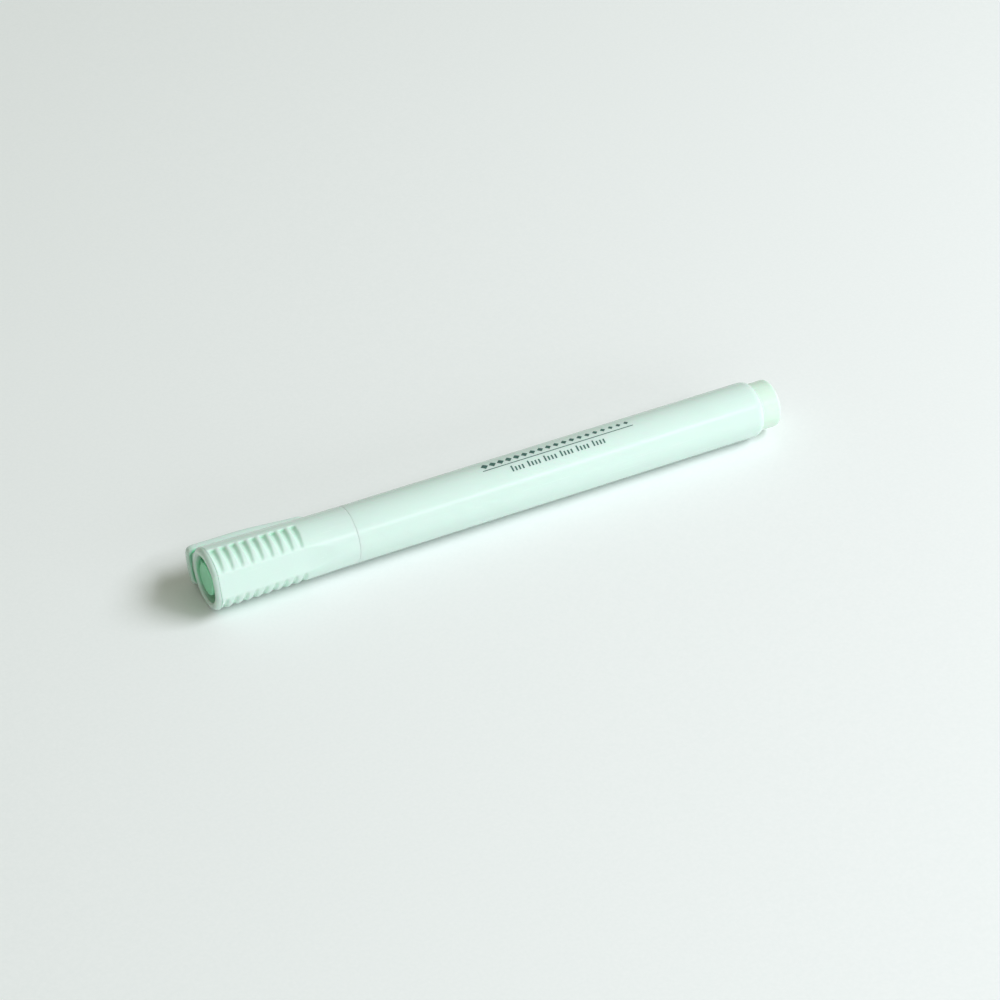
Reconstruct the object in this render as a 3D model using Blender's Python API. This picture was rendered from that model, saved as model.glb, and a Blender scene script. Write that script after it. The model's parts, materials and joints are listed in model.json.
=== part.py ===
"""A slim capped highlighter, lying on a table with the cap at -X and the tail at +X.

Every piece is first made in pen coordinates: x is the distance from the closed end of the cap, and
y and z are measured from the pen's axis. lay_down() then moves the whole pen, so that the world origin
is under the middle of its box.
"""

from math import asin, cos, pi, radians, sin, sqrt, tan

import bmesh
import bpy
from mathutils import Matrix, Vector

MM = 0.001

# Driving dimensions, in millimetres.
BARREL_RADIUS = 6.2
BARREL_BODY_LENGTH = 97.0
BARREL_WALL = 1.0
SHOULDER_LENGTH = 1.7
SHOULDER_DROP = 0.65
STUB_LENGTH = 4.5
STUB_ROUNDING = 0.8
PLUG_INSERT_LENGTH = 8.0
PLUG_WALL = 0.9
PLUG_END_WALL = 1.35
PLUG_LEAD_IN = 0.5
PLUG_LEAD_IN_DROP = 0.3

CAP_LENGTH = 32.0
CAP_END_FLARE = 0.5
CAP_WALL = 1.2
CAP_TAPER_LENGTH = 28.0
CAP_END_ROUNDING = 0.9
MOUTH_WALL = 0.75
MOUTH_DEPTH = 6.5
LEDGE_START = 1.2
LEDGE_THICKNESS = 0.8
VENT_SPAN_DEGREES = 110.0
VENT_EDGE = 0.15
MOUTH_CHAMFER = 0.15
BORE_CHAMFER = 0.3
BORE_STEP_LENGTH = 0.4

FLAT_DEPTH = 0.55
FLAT_RUNOUT_START = 20.0
FLAT_RUNOUT_LENGTH = 4.5
GROOVE_COUNT = 9
GROOVE_PITCH = 2.2
GROOVE_WIDTH = 1.5
GROOVE_DEPTH = 0.5
FIRST_GROOVE = 2.05
GROOVE_FROM_DEGREES = 27.0
GROOVE_TO_DEGREES = 72.0
GROOVE_RUN_IN_DEGREES = 6.0

LINER_RECESS = 0.35
LINER_CORE_RADIUS = 3.4
LINER_WALL = 0.7
LINER_FLARE_LENGTH = 1.0
LINER_EDGE = 0.3

NECK_LENGTH = 12.3
NECK_WALL = 0.9
NECK_LEAD_IN = 0.4
SNAP_BEAD_HEIGHT = 0.12
SNAP_BEAD_HALF_LENGTH = 0.5
SNAP_BEAD_SETBACK = 3.0
NOSE_LENGTH = 4.3
NOSE_TIP_RADIUS = 2.9
NOSE_LIP_LENGTH = 0.5
NOSE_LIP_FLARE = 0.15
NOSE_BASE_LENGTH = 0.6
NOSE_BASE_FLARE = 0.1
STEM_PAST_NECK = 0.7
HOLDER_RELIEF_LENGTH = 1.0
HOLDER_RELIEF_DEPTH = 0.2
HOLDER_CHAMFER = 0.6

NIB_WIDTH = 4.2
NIB_THICKNESS = 2.6
NIB_STANDS_OUT = 4.9
NIB_BITE = 5.0
CHISEL_DEGREES = 40.0
NIB_CORNER_RADIUS = 0.7
NIB_TAPER_LENGTH = 3.2
NIB_EDGE_THICKNESS = 0.9
NIB_EDGE_NARROWING = 0.17

FILM_THICKNESS = 0.3
RESERVOIR_END_GAP = 1.0
RESERVOIR_EDGE = 0.4

CLIP_STANDS_OFF = 1.7
CLIP_THICKNESS = 1.7
CLIP_HALF_WIDTH = 4.5
CLIP_TIP_HALF_WIDTH = 3.5
CLIP_STRAIGHT_LENGTH = 10.0
CLIP_LENGTH = 28.0
CLIP_OVERHANG = 0.15
CLIP_EDGE_ROUNDING = 0.62
CLIP_CORNER_RADIUS = 1.5
CLIP_TIP_DROP = 0.5
CLIP_BEAD_LENGTH = 3.0
WEB_START = 0.7
WEB_LENGTH = 3.6
WEB_HALF_WIDTH = 3.2

# Clearances, in millimetres: between pieces that touch, between the cap and what slides in it, between the
# stub and the cap's mouth when the cap is pushed onto the tail, and from the liner's mouth to the neck.
GAP = 0.3
SLIDE_GAP = 0.25
POSTING_GAP = 0.15
LINER_TO_NECK = 0.5
# How far a cutter runs on past the face that it opens.
CUT_PAST = 1.0

ROUND_SIDES = 48
ARC_STEPS = 6
CAP_SIDES = 72

# Places along the pen that follow from the sizes above.
SEAM = CAP_LENGTH + GAP
BARREL_END = SEAM + BARREL_BODY_LENGTH
PEN_END = BARREL_END + GAP + STUB_LENGTH
CAP_END_RADIUS = BARREL_RADIUS + CAP_END_FLARE
CAP_BORE_RADIUS = BARREL_RADIUS - CAP_WALL
MOUTH_RADIUS = BARREL_RADIUS - MOUTH_WALL
STUB_RADIUS = MOUTH_RADIUS - POSTING_GAP
COLLAR_RADIUS = MOUTH_RADIUS - SLIDE_GAP
NECK_RADIUS = CAP_BORE_RADIUS - SLIDE_GAP
NECK_START = SEAM - NECK_LENGTH
COLLAR_START = CAP_LENGTH - MOUTH_DEPTH + GAP
NECK_BORE = NECK_RADIUS - NECK_WALL
BARREL_BORE = BARREL_RADIUS - BARREL_WALL
BORE_STEP = SEAM + BARREL_WALL
NOSE_START = NECK_START - GAP - NOSE_LENGTH
STEM_RADIUS = NECK_BORE - GAP
STEM_END = BORE_STEP + BARREL_WALL + STEM_PAST_NECK
NIB_TIP = NOSE_START - NIB_STANDS_OUT
PLUG_START = BARREL_END - PLUG_INSERT_LENGTH
PLUG_RADIUS = BARREL_BORE - GAP
RESERVOIR_START = STEM_END + GAP
RESERVOIR_END = PLUG_START - RESERVOIR_END_GAP
FILM_RADIUS = BARREL_BORE - GAP
FIBRE_RADIUS = FILM_RADIUS - FILM_THICKNESS - GAP
NIB_END = RESERVOIR_START + NIB_BITE
LEDGE_END = LEDGE_START + LEDGE_THICKNESS
LINER_RADIUS = CAP_BORE_RADIUS - GAP
LINER_FLARE_START = LEDGE_END + GAP
LINER_MOUTH = NECK_START - LINER_TO_NECK
LINER_BORE = LINER_RADIUS - LINER_WALL
NOSE_BASE_RADIUS = LINER_BORE - GAP
CLIP_OUTER_REACH = CAP_END_RADIUS + CLIP_STANDS_OFF + CLIP_THICKNESS
HINGE_X = WEB_START + WEB_LENGTH / 2


def angle_of_rest():
    """How far below level the clip points when the pen lies on the cap and on the clip's lower edge."""
    reach = CLIP_OUTER_REACH - CLIP_EDGE_ROUNDING
    width = CLIP_HALF_WIDTH - CLIP_EDGE_ROUNDING
    height = CAP_END_RADIUS - CLIP_EDGE_ROUNDING
    return asin(height / reach) - asin(width / reach)


CLIP_TURN = -angle_of_rest()
FLAT_TURN = CLIP_TURN + pi
CLIP_OUT = Vector((0, cos(CLIP_TURN), sin(CLIP_TURN)))
CLIP_ACROSS = Vector((0, -sin(CLIP_TURN), cos(CLIP_TURN)))


def clear_scene():
    for found in list(bpy.data.objects):
        bpy.data.objects.remove(found)


def plastic(name, colour, roughness):
    """A Principled material of one colour."""
    material = bpy.data.materials.new(name)
    material.use_nodes = True
    shader = material.node_tree.nodes["Principled BSDF"]
    shader.inputs["Base Color"].default_value = (*colour, 1)
    shader.inputs["Roughness"].default_value = roughness
    shader.inputs["Metallic"].default_value = 0
    material.diffuse_color = (*colour, 1)
    return material


def made(name, mesh, material):
    """A new object for a mesh in pen coordinates, in metres."""
    mesh.materials.append(material)
    mesh.shade_smooth()
    mesh.set_sharp_from_angle(angle=radians(35))
    piece = bpy.data.objects.new(name, mesh)
    bpy.context.scene.collection.objects.link(piece)
    return piece


def loft(name, loops, closed):
    """A skin over loops of points. It joins its last loop to its first, or has a flat face over each end."""
    shape = bmesh.new()
    rings = [[shape.verts.new(Vector(point) * MM) for point in loop] for loop in loops]
    pairs = list(zip(rings, rings[1:]))
    if closed:
        pairs.append((rings[-1], rings[0]))
    else:
        shape.faces.new(rings[0])
        shape.faces.new(rings[-1])
    for here, there in pairs:
        for i in range(len(here)):
            j = (i + 1) % len(here)
            shape.faces.new((here[i], here[j], there[j], there[i]))
    bmesh.ops.recalc_face_normals(shape, faces=shape.faces)
    mesh = bpy.data.meshes.new(name)
    shape.to_mesh(mesh)
    shape.free()
    return mesh


def ring(x, radius, sides=ROUND_SIDES):
    """A circle round the pen's axis."""
    turns = [2 * pi * i / sides for i in range(sides)]
    return [(x, radius * cos(turn), radius * sin(turn)) for turn in turns]


def turned(name, profile, closed):
    """A round piece from its outline, a list of (x, radius)."""
    return loft(name, [ring(x, radius) for x, radius in profile], closed)


def quarter(x, radius, length, drop, steps=5):
    """The points of a quarter ellipse that rounds an edge: from (x, radius) on by length, and in by drop."""
    turns = [pi / 2 * i / steps for i in range(steps + 1)]
    return [(x + length * sin(turn), radius - drop * (1 - cos(turn))) for turn in turns]


def cut(piece, name, mesh, material):
    """Subtracts a mesh from the piece."""
    cutter = made(name, mesh, material)
    cutter.hide_render = True
    cutter.display_type = "WIRE"
    modifier = piece.modifiers.new(name, "BOOLEAN")
    modifier.operation = "DIFFERENCE"
    modifier.solver = "EXACT"
    modifier.object = cutter
    return cutter


def barrel(material):
    """The body tube, its stepped neck that fits in the cap, and its rounded tail edge."""
    shoulder = quarter(BARREL_END - SHOULDER_LENGTH, BARREL_RADIUS, SHOULDER_LENGTH, SHOULDER_DROP)
    bead = COLLAR_START - SNAP_BEAD_SETBACK
    profile = [
        (NECK_START, NECK_BORE),
        (NECK_START, NECK_RADIUS - NECK_LEAD_IN),
        (NECK_START + NECK_LEAD_IN, NECK_RADIUS),
        (bead - SNAP_BEAD_HALF_LENGTH, NECK_RADIUS),
        (bead, NECK_RADIUS + SNAP_BEAD_HEIGHT),
        (bead + SNAP_BEAD_HALF_LENGTH, NECK_RADIUS),
        (COLLAR_START, NECK_RADIUS),
        (COLLAR_START + NECK_LEAD_IN, COLLAR_RADIUS),
        (SEAM, COLLAR_RADIUS),
        (SEAM, BARREL_RADIUS),
        *shoulder,
        (BARREL_END, BARREL_BORE),
        (BORE_STEP + BARREL_WALL, BARREL_BORE),
        (BORE_STEP, NECK_BORE),
    ]
    return made("barrel", turned("barrel", profile, closed=True), material)


def tail_plug(material):
    """A cup pressed into the tail, with a stub outside that the cap can be pushed onto."""
    rim = quarter(PEN_END - STUB_ROUNDING, STUB_RADIUS, STUB_ROUNDING, STUB_ROUNDING)
    cup = PLUG_RADIUS - PLUG_WALL
    profile = [
        *reversed(rim),
        (BARREL_END + GAP, STUB_RADIUS),
        (BARREL_END + GAP, PLUG_RADIUS),
        (PLUG_START + PLUG_LEAD_IN, PLUG_RADIUS),
        (PLUG_START, PLUG_RADIUS - PLUG_LEAD_IN_DROP),
        (PLUG_START, cup),
        (PEN_END - PLUG_END_WALL, cup),
    ]
    return made("tail_plug", turned("tail_plug", profile, closed=False), material)


def nib_section(x, clearance=0.0):
    """The nib's rounded oblong section, grown by a clearance."""
    across = NIB_WIDTH / 2 - NIB_CORNER_RADIUS
    deep = NIB_THICKNESS / 2 - NIB_CORNER_RADIUS
    radius = NIB_CORNER_RADIUS + clearance
    steps = 4
    points = []
    for quadrant in range(4):
        side = across if quadrant in (0, 3) else -across
        height = deep if quadrant in (0, 1) else -deep
        for step in range(steps + 1):
            turn = pi / 2 * (quadrant + step / steps)
            points.append((x, side + radius * cos(turn), height + radius * sin(turn)))
    return points


def nib_holder(material):
    """The nose piece: a cone in front of the neck, and a stem inside it, with a slot through for the nib."""
    relief = STEM_RADIUS - HOLDER_RELIEF_DEPTH
    base = NECK_START - GAP
    profile = [
        (NOSE_START, NOSE_TIP_RADIUS),
        (NOSE_START + NOSE_LIP_LENGTH, NOSE_TIP_RADIUS + NOSE_LIP_FLARE),
        (base - NOSE_BASE_LENGTH, NOSE_BASE_RADIUS - NOSE_BASE_FLARE),
        (base, NOSE_BASE_RADIUS),
        (base, relief),
        (NECK_START + HOLDER_RELIEF_LENGTH, relief),
        (NECK_START + HOLDER_RELIEF_LENGTH, STEM_RADIUS),
        (STEM_END - HOLDER_CHAMFER, STEM_RADIUS),
        (STEM_END, relief),
    ]
    holder = made("nib_holder", turned("nib_holder", profile, closed=False), material)
    slot = loft(
        "nib_slot",
        [nib_section(NOSE_START - CUT_PAST, GAP), nib_section(STEM_END + CUT_PAST, GAP)],
        closed=False,
    )
    return holder, cut(holder, "nib_slot", slot, material)


def nib(material):
    """The fibre nib: an oblong rod whose end is cut slantwise and tapers to an edge."""
    slant = tan(radians(CHISEL_DEGREES)) / 2
    taper_start = NIB_TIP + NIB_TAPER_LENGTH + NIB_WIDTH * slant
    narrowing = 1 - 2 * NIB_EDGE_NARROWING / NIB_WIDTH
    thinning = NIB_EDGE_THICKNESS / NIB_THICKNESS
    tip = []
    for x, across, deep in nib_section(NIB_TIP):
        tip.append((x + (across + NIB_WIDTH / 2) * slant, across * narrowing, deep * thinning))
    loops = [nib_section(NIB_END), nib_section(taper_start), tip]
    return made("nib", loft("nib", loops, closed=False), material)


def ink_reservoir(material):
    """The fibre rod, with the pocket that the nib's rear end sits in."""
    profile = [
        (RESERVOIR_START, FIBRE_RADIUS - RESERVOIR_EDGE),
        (RESERVOIR_START + RESERVOIR_EDGE, FIBRE_RADIUS),
        (RESERVOIR_END - RESERVOIR_EDGE, FIBRE_RADIUS),
        (RESERVOIR_END, FIBRE_RADIUS - RESERVOIR_EDGE),
    ]
    rod = made("ink_reservoir", turned("ink_reservoir", profile, closed=False), material)
    pocket = loft(
        "nib_pocket",
        [nib_section(RESERVOIR_START - CUT_PAST, GAP), nib_section(NIB_END + GAP, GAP)],
        closed=False,
    )
    return rod, cut(rod, "nib_pocket", pocket, material)


def reservoir_film(material):
    """The film tube round the fibre rod."""
    inner = FILM_RADIUS - FILM_THICKNESS
    profile = [
        (RESERVOIR_START + GAP, inner),
        (RESERVOIR_START + GAP, FILM_RADIUS),
        (RESERVOIR_END, FILM_RADIUS),
        (RESERVOIR_END, inner),
    ]
    return made("reservoir_film", turned("reservoir_film", profile, closed=True), material)


def cap_body_radius(x):
    """The cap's outside radius before its flat and grooves: widest at the closed end."""
    share = min(max(x / CAP_TAPER_LENGTH, 0), 1)
    return CAP_END_RADIUS + (BARREL_RADIUS - CAP_END_RADIUS) * share


def smooth(share):
    share = min(max(share, 0), 1)
    return share * share * (3 - 2 * share)


def groove_depth(x, turn_from_flat):
    """How deep the grip grooves are at a place on the cap."""
    place = (x - FIRST_GROOVE) / GROOVE_PITCH
    number = round(place)
    if not 0 <= number < GROOVE_COUNT:
        return 0
    across = abs(place - number) * GROOVE_PITCH / (GROOVE_WIDTH / 2)
    turn = abs(turn_from_flat)
    run_in = radians(GROOVE_RUN_IN_DEGREES)
    start = smooth((turn - radians(GROOVE_FROM_DEGREES)) / run_in + 1)
    stop = smooth((radians(GROOVE_TO_DEGREES) - turn) / run_in + 1)
    return GROOVE_DEPTH * max(0, 1 - across * across) * start * stop


def cap_radius(x, turn):
    """The cap's outside radius, with the flat on its front and the grooves on each side of it."""
    body = cap_body_radius(x)
    from_flat = (turn - FLAT_TURN + pi) % (2 * pi) - pi
    radius = body
    if abs(from_flat) < pi / 3:
        runout = smooth((x - FLAT_RUNOUT_START) / FLAT_RUNOUT_LENGTH)
        flat = body - FLAT_DEPTH * (1 - runout)
        radius = min(body, flat / cos(from_flat))
    return radius - groove_depth(x, from_flat)


def cap_ring(x, inset=0.0):
    """One loop of the cap's outside, pulled in by inset."""
    turns = [2 * pi * i / CAP_SIDES for i in range(CAP_SIDES)]
    radii = [cap_radius(x, turn) - inset for turn in turns]
    return [(x, radius * cos(turn), radius * sin(turn)) for turn, radius in zip(turns, radii)]


def cap_stations():
    """Where the cap's outside needs a loop: at the groove edges and bottoms, and along the plain mouth."""
    places = [CAP_END_ROUNDING]
    for number in range(GROOVE_COUNT):
        middle = FIRST_GROOVE + number * GROOVE_PITCH
        places += [middle + share * GROOVE_WIDTH / 2 for share in (-1, -0.5, 0, 0.5, 1)]
    plain_from = places[-1] + GROOVE_WIDTH / 4
    plain_to = CAP_LENGTH - GROOVE_WIDTH / 4
    steps = 4
    runout = [FLAT_RUNOUT_START + FLAT_RUNOUT_LENGTH * i / steps for i in range(steps + 1)]
    places += sorted(x for x in [*runout, CAP_TAPER_LENGTH] if plain_from < x < plain_to)
    return [*places, CAP_LENGTH - MOUTH_CHAMFER]


def vent_cutter(number, material, shell):
    """A crescent-shaped passage through the ledge inside the cap."""
    span = radians(VENT_SPAN_DEGREES)
    middle = FLAT_TURN + pi / 2 + number * pi
    inner = LINER_CORE_RADIUS + 2 * GAP
    outer = CAP_BORE_RADIUS - VENT_EDGE
    steps = 10
    loops = []
    for i in range(steps + 1):
        turn = middle + span * (i / steps - 0.5)
        corners = (
            (LEDGE_START - CUT_PAST, inner),
            (LEDGE_START - CUT_PAST, outer),
            (LEDGE_END + CUT_PAST, outer),
            (LEDGE_END + CUT_PAST, inner),
        )
        loops.append([(x, radius * cos(turn), radius * sin(turn)) for x, radius in corners])
    name = f"vent_{number}"
    return cut(shell, name, loft(name, loops, closed=False), material)


def cap_shell(material):
    """The outside of the cap: open at both ends, with a vented ledge inside that the liner stops against."""
    outside = [cap_ring(0, CAP_END_ROUNDING)]
    steps = 4
    for step in range(1, steps):
        turn = pi / 2 * step / steps
        inset = CAP_END_ROUNDING * (1 - sin(turn))
        outside.append(cap_ring(CAP_END_ROUNDING * (1 - cos(turn)), inset))
    outside += [cap_ring(x) for x in cap_stations()]
    outside.append(cap_ring(CAP_LENGTH, MOUTH_CHAMFER))
    mouth_bottom = CAP_LENGTH - MOUTH_DEPTH
    ledge_radius = LINER_CORE_RADIUS + GAP
    inside = [
        (CAP_LENGTH, MOUTH_RADIUS + MOUTH_CHAMFER),
        (CAP_LENGTH - MOUTH_CHAMFER, MOUTH_RADIUS),
        (mouth_bottom, MOUTH_RADIUS),
        (mouth_bottom - BORE_STEP_LENGTH, CAP_BORE_RADIUS),
        (LEDGE_END, CAP_BORE_RADIUS),
        (LEDGE_END, ledge_radius),
        (LEDGE_START, ledge_radius),
        (LEDGE_START, CAP_BORE_RADIUS),
        (BORE_CHAMFER, CAP_BORE_RADIUS),
        (0, CAP_BORE_RADIUS + BORE_CHAMFER),
    ]
    loops = outside + [ring(x, radius, CAP_SIDES) for x, radius in inside]
    shell = made("cap_shell", loft("cap_shell", loops, closed=True), material)
    return shell, [vent_cutter(number, material, shell) for number in range(2)]


def cap_liner(material):
    """The inner cup: a narrow closed end behind the cap's end, and a wide mouth that seals on the nose."""
    core = LINER_CORE_RADIUS
    flare_end = LINER_FLARE_START + LINER_FLARE_LENGTH
    profile = [
        (LINER_RECESS, core - LINER_EDGE),
        (LINER_RECESS + LINER_EDGE, core),
        (LINER_FLARE_START, core),
        (flare_end, LINER_RADIUS),
        (LINER_MOUTH, LINER_RADIUS),
        (LINER_MOUTH, LINER_BORE),
        (flare_end + LINER_WALL / 2, LINER_BORE),
        (LINER_FLARE_START + LINER_WALL / 2, core - LINER_WALL),
        (LINER_RECESS + LINER_WALL, core - LINER_WALL),
    ]
    return made("cap_liner", turned("cap_liner", profile, closed=False), material)


def round_off(share):
    """A quarter circle's height at a share of its radius from its end."""
    share = min(max(share, 0), 1)
    return sqrt(1 - (1 - share) ** 2)


def clip_taper(x):
    """How far along the clip's tapering part a place is, from 0 to 1."""
    return smooth((x - CLIP_STRAIGHT_LENGTH) / (CLIP_LENGTH - CLIP_STRAIGHT_LENGTH))


def clip_half_width(x):
    """Half the clip's width: full at the closed end, narrower to the tip, with round corners at both ends."""
    width = CLIP_HALF_WIDTH + (CLIP_TIP_HALF_WIDTH - CLIP_HALF_WIDTH) * clip_taper(x)
    width -= CLIP_CORNER_RADIUS * (1 - round_off((x + CLIP_OVERHANG) / CLIP_CORNER_RADIUS))
    blunt = 0.35
    return width * max(blunt, round_off((CLIP_LENGTH - x) / CLIP_TIP_HALF_WIDTH))


def clip_faces(x):
    """The distances from the pen's axis to the clip's inner and outer face."""
    outer = CLIP_OUTER_REACH - CLIP_TIP_DROP * clip_taper(x)
    inner = outer - CLIP_THICKNESS
    middle = CLIP_LENGTH - CLIP_BEAD_LENGTH
    from_bead = abs(x - middle) / (CLIP_BEAD_LENGTH / 2)
    bead = inner - cap_body_radius(middle) - GAP
    if from_bead < 1:
        inner -= bead * cos(from_bead * pi / 2)
    from_end = min(x + CLIP_OVERHANG, CLIP_LENGTH - x)
    shrink = CLIP_EDGE_ROUNDING * (1 - round_off(from_end / CLIP_EDGE_ROUNDING))
    return inner + shrink, outer - shrink


def clip_section(x):
    """One loop of the clip: a plate with rounded edges, curved round the pen's axis."""
    inner, outer = clip_faces(x)
    half = clip_half_width(x)
    thick = (outer - inner) / 2
    radius = min(CLIP_EDGE_ROUNDING, thick * 0.97, half / 2)
    spread = (half - radius) / (outer - radius)
    points = []
    for i in range(ARC_STEPS + 1):
        turn = spread * (2 * i / ARC_STEPS - 1)
        points.append((outer * cos(turn), outer * sin(turn)))
    points += clip_edge(spread, inner, outer, radius)
    for i in range(ARC_STEPS + 1):
        turn = spread * (1 - 2 * i / ARC_STEPS)
        points.append((inner * cos(turn), inner * sin(turn)))
    points += [(out, -across) for out, across in reversed(clip_edge(spread, inner, outer, radius))]
    return [Vector((x, 0, 0)) + CLIP_OUT * out + CLIP_ACROSS * across for out, across in points]


def clip_edge(spread, inner, outer, radius):
    """The rounded long edge of the clip, from its outer face round to its inner face."""
    steps = 3
    lean_out = cos(spread)
    lean_across = sin(spread)
    points = []
    for corner, first in ((outer - radius, 1), (inner + radius, steps)):
        for step in range(first, first + steps):
            turn = pi / 2 * step / steps
            out = corner + radius * cos(turn)
            across = radius * sin(turn)
            points.append((out * lean_out - across * lean_across, out * lean_across + across * lean_out))
    return points


def clip_web():
    """The block at the closed end that carries the clip, curved underneath to follow the cap."""
    inner, _ = clip_faces(HINGE_X)
    top = inner + CLIP_THICKNESS / 2
    base = cap_body_radius(WEB_START) + GAP
    spread = asin(WEB_HALF_WIDTH / base)
    loops = []
    steps = 8
    for x in (WEB_START, WEB_START + WEB_LENGTH):
        loop = []
        for i in range(steps + 1):
            turn = spread * (2 * i / steps - 1)
            loop.append(Vector((x, 0, 0)) + CLIP_OUT * base * cos(turn) + CLIP_ACROSS * base * sin(turn))
        loop.append(Vector((x, 0, 0)) + CLIP_OUT * top + CLIP_ACROSS * WEB_HALF_WIDTH)
        loop.append(Vector((x, 0, 0)) + CLIP_OUT * top - CLIP_ACROSS * WEB_HALF_WIDTH)
        loops.append(loop)
    return loft("clip_web", loops, closed=False)


def clip(material):
    """The clip: a tapering plate along the cap, joined to its web."""
    from_ends = [CLIP_EDGE_ROUNDING * share for share in (0.04, 0.3, 0.65, 1, 2)]
    bead = CLIP_LENGTH - CLIP_BEAD_LENGTH
    taper_steps = 5
    taper = (bead - CLIP_BEAD_LENGTH - CLIP_STRAIGHT_LENGTH) / (taper_steps - 1)
    places = [distance - CLIP_OVERHANG for distance in from_ends]
    places += [CLIP_LENGTH - distance for distance in from_ends]
    places += [WEB_START + WEB_LENGTH]
    places += [CLIP_STRAIGHT_LENGTH + taper * i for i in range(taper_steps)]
    places += [bead + CLIP_BEAD_LENGTH / 2 * share for share in (-1, -0.5, 0, 0.5, 1)]
    sections = [clip_section(x) for x in sorted(places)]
    plate = made("clip", loft("clip", sections, closed=False), material)
    web = made("clip_web", clip_web(), material)
    web.hide_render = True
    web.display_type = "WIRE"
    union = plate.modifiers.new("web", "BOOLEAN")
    union.operation = "UNION"
    union.solver = "EXACT"
    union.object = web
    return plate, web


def set_origin(piece, x, out=0.0):
    """Puts an object's own origin at a place on the pen's axis, or at a distance from it towards the clip."""
    place = (Vector((x, 0, 0)) + CLIP_OUT * out) * MM
    piece.data.transform(Matrix.Translation(-place))
    piece.location = place


def lay_down(pieces, everything):
    """Parents every piece to an empty on the pen's axis, placed so that the world origin is under the pen."""
    bpy.context.view_layer.update()
    graph = bpy.context.evaluated_depsgraph_get()
    corners = []
    for piece in pieces:
        evaluated = piece.evaluated_get(graph)
        corners += [evaluated.matrix_world @ vertex.co for vertex in evaluated.data.vertices]
    low = [min(corner[i] for corner in corners) for i in range(3)]
    high = [max(corner[i] for corner in corners) for i in range(3)]
    axis = bpy.data.objects.new("pen_axis", None)
    bpy.context.scene.collection.objects.link(axis)
    axis.location = (-(low[0] + high[0]) / 2, -(low[1] + high[1]) / 2, -low[2])
    for piece in everything:
        piece.parent = axis


def build():
    clear_scene()
    body_green = plastic("body_green", (0.70, 0.91, 0.79), 0.3)
    plug_green = plastic("plug_green", (0.72, 0.92, 0.76), 0.32)
    liner_green = plastic("liner_green", (0.50, 0.78, 0.62), 0.4)
    nib_green = plastic("nib_green", (0.35, 0.85, 0.55), 0.9)
    fibre_green = plastic("fibre_green", (0.45, 0.85, 0.60), 0.95)
    film_clear = plastic("film_clear", (0.85, 0.93, 0.88), 0.2)

    holder, slot = nib_holder(plug_green)
    rod, pocket = ink_reservoir(fibre_green)
    shell, vents = cap_shell(body_green)
    plate, web = clip(body_green)
    film = reservoir_film(film_clear)
    root = [barrel(body_green), tail_plug(plug_green), holder, nib(nib_green), rod, film]
    capped = [shell, cap_liner(liner_green)]

    for piece in [*root, slot, pocket]:
        set_origin(piece, SEAM)
    for piece in [*capped, *vents]:
        set_origin(piece, CAP_LENGTH)
    for piece in (plate, web):
        set_origin(piece, HINGE_X, cap_body_radius(HINGE_X) + GAP)
    pieces = [*root, *capped, plate]
    lay_down(pieces, [*pieces, slot, pocket, *vents, web])


build()
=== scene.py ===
"""The looks of a slim capped highlighter in pastel green plastic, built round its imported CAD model.

Pen coordinates are used throughout, in millimetres: x is the distance from the cap's closed end, a radius
is measured from the pen's axis, and a turn is an angle round that axis, from the direction of the clip.
"""

import json
from math import atan2, cos, pi, radians, sin, sqrt, tan

import bmesh
import bpy
import numpy as np
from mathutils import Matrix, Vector


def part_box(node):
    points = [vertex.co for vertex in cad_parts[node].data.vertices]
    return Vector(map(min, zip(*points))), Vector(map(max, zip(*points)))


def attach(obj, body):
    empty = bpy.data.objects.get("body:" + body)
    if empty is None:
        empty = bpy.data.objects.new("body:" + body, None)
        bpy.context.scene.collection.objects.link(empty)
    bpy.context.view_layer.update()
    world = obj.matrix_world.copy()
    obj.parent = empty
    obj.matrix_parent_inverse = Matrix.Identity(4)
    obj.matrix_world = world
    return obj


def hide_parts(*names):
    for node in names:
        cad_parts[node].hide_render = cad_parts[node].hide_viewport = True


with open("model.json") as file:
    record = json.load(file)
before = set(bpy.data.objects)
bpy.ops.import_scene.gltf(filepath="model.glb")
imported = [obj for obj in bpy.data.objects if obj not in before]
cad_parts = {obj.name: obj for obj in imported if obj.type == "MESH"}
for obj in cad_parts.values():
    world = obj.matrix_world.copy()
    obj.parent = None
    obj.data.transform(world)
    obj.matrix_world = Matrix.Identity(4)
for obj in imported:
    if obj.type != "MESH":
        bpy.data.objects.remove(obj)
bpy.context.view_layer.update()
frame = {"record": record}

MM = 0.001


def box(node):
    """A CAD node's lowest and highest corner, in millimetres."""
    low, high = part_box(node)
    return Vector(low) / MM, Vector(high) / MM


def mount(name):
    return next(mount for mount in frame["record"]["mounts"] if mount["name"] == name)


# Places and sizes that the CAD model sets, in millimetres.
CAP_LOW, CAP_HIGH = box("cap_shell")
BARREL_LOW, BARREL_HIGH = box("barrel")
LINER_LOW, LINER_HIGH = box("cap_liner")
CLIP_LOW, CLIP_HIGH = box("clip")
HOLDER_LOW, HOLDER_HIGH = box("nib_holder")
NIB_LOW, NIB_HIGH = box("nib")
ROD_LOW, ROD_HIGH = box("ink_reservoir")
FILM_LOW, FILM_HIGH = box("reservoir_film")
PLUG_LOW, PLUG_HIGH = box("tail_plug")

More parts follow.
